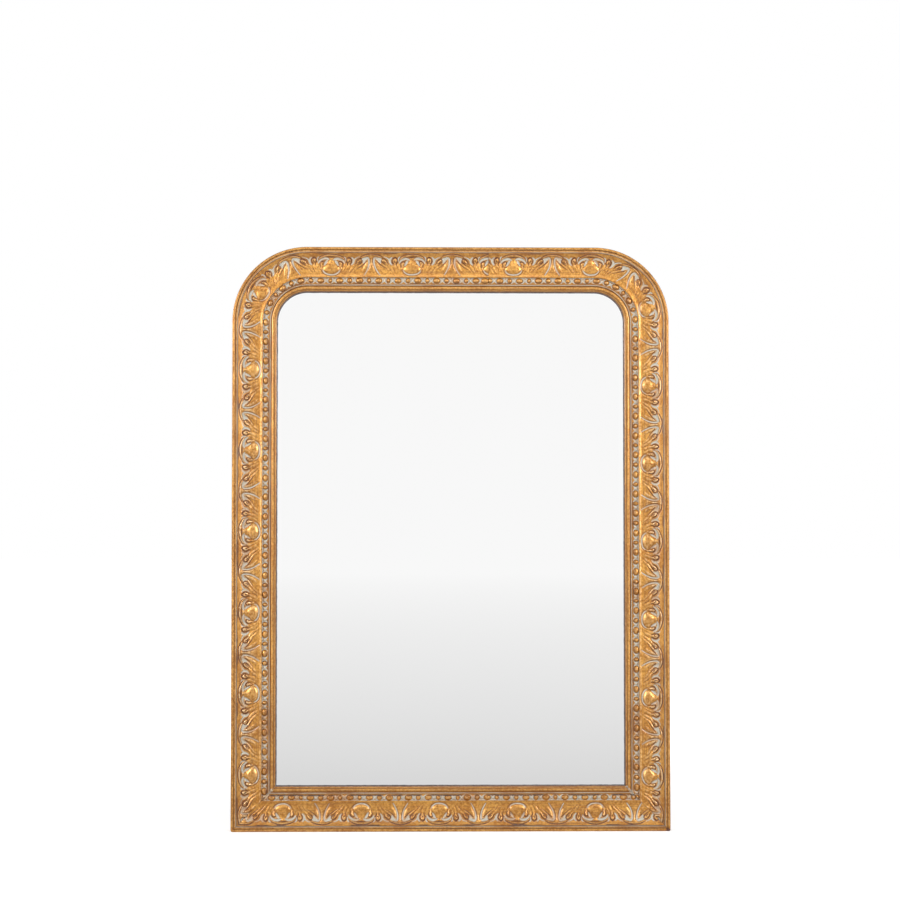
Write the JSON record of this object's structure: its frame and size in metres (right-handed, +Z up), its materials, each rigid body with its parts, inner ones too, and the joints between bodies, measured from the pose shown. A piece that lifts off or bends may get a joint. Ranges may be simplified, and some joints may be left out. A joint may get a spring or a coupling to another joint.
{
  "type": "arched wall mirror",
  "caption": "Tall wall mirror with rounded top corners, a gilded ornamental frame with bead-and-reel edge, turn buttons and D-ring hangers behind.",
  "frame": {"origin": "middle of the mirror's width and height, on the wall plane that the bumpers' faces touch", "axes": "+X to the viewer's right, +Y into the wall, +Z up"},
  "size_m": [0.762, 0.048, 1.016],
  "materials": {
    "gilt_wood": "antique gold leaf over red ground, rubbed",
    "gilt_ornament": "antique gold with a pale grey wash in the hollows",
    "bare_wood": "bare hardwood",
    "mirror": "polished, silvered at the back",
    "felt": "black felt tape",
    "rubber": "matte black rubber",
    "card": "corrugated card",
    "board": "pressed fibre board",
    "zinc_steel": "zinc plated"
  },
  "bodies": {
    "frame": {"left_stile": "gilt_wood", "left_arch": "gilt_wood", "right_arch": "gilt_wood", "right_stile": "gilt_wood", "bottom_rail": "gilt_wood", "left_frieze": "gilt_ornament", "right_frieze": "gilt_ornament", "bottom_frieze": "gilt_ornament", "left_bead_strip": "gilt_ornament", "right_bead_strip": "gilt_ornament", "bottom_bead_strip": "gilt_ornament", "loose_tenons": "bare_wood", "mirror_glass": "mirror", "rebate_felt": "felt", "glass_pads": "rubber", "wall_bumpers": "rubber", "cushion_sheet": "card", "backing_board": "board", "turn_button_screws": "zinc_steel", "left_hanger_strap": "zinc_steel", "right_hanger_strap": "zinc_steel", "hanger_screws": "zinc_steel"},
    "turn_button_left_upper": {"turn_button_left_upper": "zinc_steel"},
    "turn_button_left_lower": {"turn_button_left_lower": "zinc_steel"},
    "turn_button_right_upper": {"turn_button_right_upper": "zinc_steel"},
    "turn_button_right_lower": {"turn_button_right_lower": "zinc_steel"},
    "turn_button_top": {"turn_button_top": "zinc_steel"},
    "turn_button_bottom": {"turn_button_bottom": "zinc_steel"},
    "left_hanger_ring": {"left_hanger_ring": "zinc_steel"},
    "right_hanger_ring": {"right_hanger_ring": "zinc_steel"}
  },
  "joints": [
    {"name": "turn_button_left_upper_pivot", "type": "hinge", "parent": "frame", "child": "turn_button_left_upper", "pos_m": [-0.324, -0.008, 0.254], "axis": [0, 1, 0], "range_deg": [-90, 90]},
    {"name": "turn_button_left_lower_pivot", "type": "hinge", "parent": "frame", "child": "turn_button_left_lower", "pos_m": [-0.324, -0.008, -0.254], "axis": [0, 1, 0], "range_deg": [-90, 90]},
    {"name": "turn_button_right_upper_pivot", "type": "hinge", "parent": "frame", "child": "turn_button_right_upper", "pos_m": [0.324, -0.008, 0.254], "axis": [0, 1, 0], "range_deg": [-90, 90]},
    {"name": "turn_button_right_lower_pivot", "type": "hinge", "parent": "frame", "child": "turn_button_right_lower", "pos_m": [0.324, -0.008, -0.254], "axis": [0, 1, 0], "range_deg": [-90, 90]},
    {"name": "turn_button_top_pivot", "type": "hinge", "parent": "frame", "child": "turn_button_top", "pos_m": [0, -0.008, 0.451], "axis": [0, 1, 0], "range_deg": [-90, 90]},
    {"name": "turn_button_bottom_pivot", "type": "hinge", "parent": "frame", "child": "turn_button_bottom", "pos_m": [0, -0.008, -0.451], "axis": [0, 1, 0], "range_deg": [-90, 90]},
    {"name": "left_hanger_ring_swing", "type": "hinge", "parent": "frame", "child": "left_hanger_ring", "pos_m": [-0.347, -0.00423, 0.208], "axis": [-1, 0, 0], "range_deg": [0, 176]},
    {"name": "right_hanger_ring_swing", "type": "hinge", "parent": "frame", "child": "right_hanger_ring", "pos_m": [0.347, -0.00423, 0.208], "axis": [-1, 0, 0], "range_deg": [0, 176]}
  ]
}
